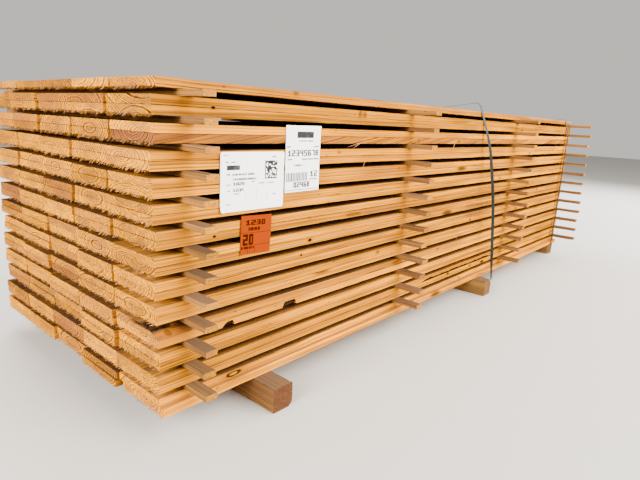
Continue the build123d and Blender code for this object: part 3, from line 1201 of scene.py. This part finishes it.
labelPrints = {
    # kind or figures, left, right, top, bottom in millimetres from the top left corner
    "label_wide": [
        ("words", 16, 26, 24, 27), ("words", 34, 54, 24, 27), ("block", 20, 62, 33, 45),
        ("words", 38, 110, 54, 59), ("words", 38, 116, 66, 71), ("words", 20, 32, 54, 58),
        ("words", 20, 34, 80, 83), ("1020", 40, 78, 76, 84), ("words", 102, 114, 75, 78),
        ("words", 126, 146, 80, 83), ("words", 156, 184, 80, 83), ("words", 22, 34, 96, 99),
        ("1234", 40, 74, 92, 100), ("words", 42, 66, 104, 107), ("words", 20, 30, 130, 133),
        ("cells", 147, 192, 23, 71), ("block", 147, 150.5, 23, 71), ("block", 147, 192, 67.5, 71),
        ("words", 172, 188, 12, 15), ("line", 82, 83, 96, 130), ("line", 118, 119, 96, 130),
        ("line", 154, 155, 96, 130), ("words", 176, 190, 112, 115), ("words", 8, 24, 8, 10),
    ],
    "label_tall": [
        ("block", 44, 112, 16, 34), ("words", 52, 112, 40, 44), ("words", 2, 20, 56, 60),
        ("words", 112, 138, 56, 60), ("12345678", 8, 134, 67, 84), ("words", 8, 26, 91, 95),
        ("words", 62, 136, 91, 95), ("words", 34, 70, 107, 112), ("bars", 4, 90, 130, 155),
        ("12", 102, 132, 127, 144), ("words", 98, 132, 149, 153), ("02468", 34, 100, 157, 173),
        ("line", 2, 139, 178, 180.5),
    ],
    "label_orange": [
        ("1230", 17, 84, 12, 26), ("words", 26, 66, 32, 41), ("line", 2, 105, 46, 47.2),
        ("20", 8, 44, 50, 80), ("words", 2, 48, 83, 90), ("line", 50, 105, 80, 81.2),
        ("line", 26, 27.5, 92, 104), ("line", 50, 51.5, 84, 104),
    ],
}

# Each sheet in millimetres and degrees: it lies so far to one side of its part's middle, and one corner
# curls up so high from so far in
whiteSheet = {
    "slot": "label_white", "ink": (0.018, 0.019, 0.022, 1.0), "soiled": (0.6, 0.62, 0.6, 1.0),
    "shine": 0.06, "ragged": 0.0,
}
labelLook = {
    "label_wide": dict(
        whiteSheet, name="white_sheet_wide", paper=(0.95, 0.98, 1.0, 1.0), size=(217.0, 151.0),
        shift=-3.0, turn=-0.3, corner=6.0, wave=0.9, curl=("bottomLeft", 5.0, 26.0),
    ),
    "label_tall": dict(
        whiteSheet, name="white_sheet_tall", paper=(0.93, 0.96, 0.98, 1.0), size=(141.0, 185.0),
        shift=-2.5, turn=0.3, corner=0.6, wave=0.8, curl=("topRight", 3.0, 20.0),
    ),
    "label_orange": dict(
        slot="label_orange", name="orange_sheet", paper=(0.215, 0.027, 0.0, 1.0),
        ink=(0.02, 0.005, 0.002, 1.0), soiled=(0.17, 0.018, 0.0, 1.0), shine=0.0,
        size=(107.0, 106.0), shift=-1.0, turn=-2.5, corner=0.6, wave=1.1,
        curl=("bottomLeft", 4.0, 24.0),
        ragged=3.0,         # how deep its torn lower edge is
    ),
}

# how the labels are printed, soiled and creased, in millimetres
printLook = {
    "boldness": 1.7,        # how much wider than its squares a figure is printed
    "letter": (1.7, 30.0), "letterGaps": 0.12, "words": 0.9, "line": 0.8,
    "cell": (3.75, 4.0), "emptyCells": 0.33,
    "bar": 6.2, "barGroup": (13.0, 900.0), "barSpread": 0.4, "barWidth": 0.66,
    "soil": (0.04, 0.04, 0.0, 4.0, 0.6),        # waves in a millimetre, detail, roughness
    "soilFade": (0.5, 0.8), "soilShare": 0.14, "roughness": (0.5, 0.7),
    "crease": (0.03, 0.09, 1.0, 2.0, 0.5), "creaseRelief": 0.35, "creaseDepth": 0.002,
}
sheetMesh = {
    "columns": 48, "rows": 40,
    "cornerRows": (0.0, 0.15, 0.4, 1.0),        # closer rows at the rounded corners, as shares of them
    "ripples": ((31, 23, 0.5), (12, 15, 0.25)),     # how long across and down, and how high
    "tear": (0.9, 0.31), "tearHeight": 12.0,        # waves of a torn edge, and how far up they reach
    "thickness": 0.3,
}


def hashOf(f, u, v, cell):
    # a number of its own for each cell of so many millimetres
    spot = f.vector(f.maths("FLOOR", u / cell[0]), f.maths("FLOOR", v / cell[1]), 0.0)
    return f.node("TexWhiteNoise", None, {"Vector": spot}, "Value")


def figuresIn(f, figures, u, v, width, height):
    # one where the figures are printed: each figure's shape is a number whose bits are its squares
    pitch = figureColumns + 1
    column = f.maths("FLOOR", u / (width / (pitch * len(figures) - 1)))
    row = f.maths("FLOOR", v / (height / figureRows))
    place = f.maths("FLOOR", column / pitch)
    inside = column - place * pitch
    shape, before = 0.0, 0
    for index, figure in enumerate(figures):
        bits = sum(1 << spot for spot, mark in enumerate(figureShapes[figure]) if mark == "1")
        shape = (place > index - 0.5) * float(bits - before) + shape
        before = bits
    bit = f.maths("FLOOR", shape / 2.0 ** (row * figureColumns + inside))
    return bit % 2.0 * (inside < figureColumns - 0.5)


def printedArea(f, kind, u, v, left, right, top, bottom):
    area = (u > left) * (u < right) * (v > top) * (v < bottom)
    look = printLook
    if kind == "words":
        return area * (hashOf(f, u, v, look["letter"]) > look["letterGaps"]) * look["words"]
    if kind == "cells":
        return area * (hashOf(f, u, v, look["cell"]) > look["emptyCells"])
    if kind == "bars":
        spread = hashOf(f, u, v, look["barGroup"]) * look["barSpread"]
        return area * (f.maths("FRACT", u / look["bar"] + spread) < look["barWidth"])
    if kind == "line":
        return area * look["line"]
    if kind == "block":
        return area
    thin, moved = (figuresIn(f, kind, u - left - shift, v - top, right - left, bottom - top)
                   for shift in (0.0, look["boldness"]))
    return area * f.maths("MAXIMUM", thin, moved)


def makeLabelFinish(node):
    f = Finish(f"{node}_sheet")
    look = labelLook[node]
    u, v, back = f.split(f.attribute("sheetPlace"))
    printed = 0.0
    for kind, *edges in labelPrints[node]:
        printed = f.maths("MAXIMUM", printedArea(f, kind, u, v, *edges), printed)
    soil = f.pattern((u, v, 0.0), printLook["soil"])
    colour = f.mix(printed * (1.0 - back), look["paper"], look["ink"])
    colour = f.mix(f.smooth(soil, *printLook["soilFade"]) * printLook["soilShare"], colour, look["soiled"])
    crease = f.pattern((u, v, 1.0), printLook["crease"])
    normal = f.bump(crease, printLook["creaseRelief"], printLook["creaseDepth"])
    return f.end(colour, between(soil, *printLook["roughness"]), normal, look["shine"])


def makeLabel(node):
    look = labelLook[node]
    width, height = look["size"]
    corner = look["corner"]
    low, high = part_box(node)
    middle = (low + high) / 2
    rng = random.Random(width)
    corners = [corner * share for share in sheetMesh["cornerRows"]]
    rows = corners + list(np.linspace(corner, height - corner, sheetMesh["rows"]))[1:-1]
    rows += [height - v for v in reversed(corners)]
    columns = sheetMesh["columns"]
    turn = math.radians(look["turn"])
    phases = [rng.uniform(0, wholeWave) for _ in range(4)]
    where, rise, reach = look["curl"]

    def lift(u, v):
        # how far the sheet stands off the boards
        wave = 0.5
        for number, (long, high, amount) in enumerate(sheetMesh["ripples"]):
            first, second = phases[2 * number:2 * number + 2]
            wave += amount * math.sin(u / long + first) * math.sin(v / high + second)
        fromCorner = (u if "Left" in where else width - u) + (v if "top" in where else height - v)
        return wave * look["wave"] + rise * max(0.0, 1 - fromCorner / reach) ** 2

    front, places = [], []
    for v in rows:
        edge = min(v, height - v)
        inset = corner - math.sqrt(max(0.0, corner ** 2 - (corner - edge) ** 2)) if edge < corner else 0
        for column in range(columns + 1):
            u = between(column / columns, inset, width - inset)
            torn = v
            if look["ragged"] and v > height - sheetMesh["tearHeight"]:
                close, far = sheetMesh["tear"]
                tear = look["ragged"] * (0.5 + 0.5 * math.sin(u * close + phases[0]) * math.sin(u * far))
                torn -= tear * (1 - (height - v) / sheetMesh["tearHeight"])
            across, up = u - width / 2, height / 2 - torn
            x = across * math.cos(turn) - up * math.sin(turn) + look["shift"]
            z = across * math.sin(turn) + up * math.cos(turn)
            front.append((middle.x + x * mm, low.y - lift(u, v) * mm, middle.z + z * mm))
            places.append((u, torn, 0.0))
    count = len(front)
    points = front + [(x, y + sheetMesh["thickness"] * mm, z) for x, y, z in front]
    places += [(u, v, 1.0) for u, v, back in places]
    wide = columns + 1
    faces = []
    for row in range(len(rows) - 1):
        for column in range(columns):
            spot = row * wide + column
            quad = [spot, spot + wide, spot + wide + 1, spot + 1]
            faces.append(quad)
            faces.append([index + count for index in reversed(quad)])
    lastRow = (len(rows) - 1) * wide
    rim = list(range(wide)) + [row * wide + columns for row in range(1, len(rows))]
    rim += [lastRow + column for column in range(columns - 1, -1, -1)]
    rim += [row * wide for row in range(len(rows) - 2, 0, -1)]
    for index, spot in enumerate(rim):
        after = rim[(index + 1) % len(rim)]
        faces.append([spot, after, after + count, spot + count])
    sheet = makeMesh(look["name"], points, faces, [makeLabelFinish(node)], [("sheetPlace", places)])
    sheet.data.polygons.foreach_set("use_smooth", [True] * len(faces))
    standIn(sheet, node)


for node in labelLook:
    makeLabel(node)
print("labels made")


floorLook = {"colour": (0.42, 0.41, 0.395, 1.0), "size": 40.0, "roughness": 0.9}
studioLook = {"colour": (1.0, 0.96, 0.9, 1.0), "strength": 0.7}
# name, place, aimed at, size, power, colour
studioLights = [
    ("keyLight", (-6.0, -1.0, 2.6), (-1.4, 0.1, 0.6), 3.0, 1180.0, (1.0, 0.95, 0.86)),
    ("fillLight", (0.6, -4.6, 2.7), (0.1, -0.4, 0.4), 4.4, 1180.0, (1.0, 0.94, 0.84)),
    ("backLight", (0.3, 4.8, 4.2), (0.0, 0.4, 0.4), 3.6, 1250.0, (1.0, 0.96, 0.9)),
    ("farLight", (5.6, -1.2, 3.2), (1.4, 0.1, 0.4), 3.0, 950.0, (1.0, 0.96, 0.9)),
]
cameraLook = {
    "place": (-2.08784, -1.48349, 0.79891),
    "forward": (0.73656995, 0.63623073, -0.2295107),
    "right": (0.66151737, -0.7483623, 0.04846273),
    "lens": 28.24,
    "sensor": 36.0,
    "farthest": 100.0,
}


def makeFloor():
    half = floorLook["size"] / 2
    corners = [(-half, -half, 0), (half, -half, 0), (half, half, 0), (-half, half, 0)]
    finish = Finish("floorPale").end(floorLook["colour"], floorLook["roughness"])
    makeMesh("floor", corners, [(0, 1, 2, 3)], [finish])


def makeLights():
    world = bpy.data.worlds.new("studio")
    world.use_nodes = True
    background = world.node_tree.nodes["Background"]
    background.inputs["Color"].default_value = studioLook["colour"]
    background.inputs["Strength"].default_value = studioLook["strength"]
    bpy.context.scene.world = world
    for name, place, aim, size, power, colour in studioLights:
        lamp = bpy.data.lights.new(name, "AREA")
        lamp.energy = power
        lamp.size = size
        lamp.color = colour
        holder = addObject(name, lamp)
        holder.location = place
        holder.rotation_euler = (Vector(aim) - Vector(place)).to_track_quat("-Z", "Y").to_euler()


def makeCamera():
    lens = bpy.data.cameras.new("camera")
    lens.sensor_width = cameraLook["sensor"]
    lens.lens = cameraLook["lens"]
    lens.clip_end = cameraLook["farthest"]
    camera = addObject("camera", lens)
    right = Vector(cameraLook["right"]).normalized()
    back = -Vector(cameraLook["forward"]).normalized()
    upright = back.cross(right)
    turn = Matrix((right, upright, back)).transposed().to_4x4()
    camera.matrix_world = Matrix.Translation(cameraLook["place"]) @ turn
    bpy.context.scene.camera = camera


makeFloor()
makeLights()
makeCamera()
print("floor, lights and camera made")
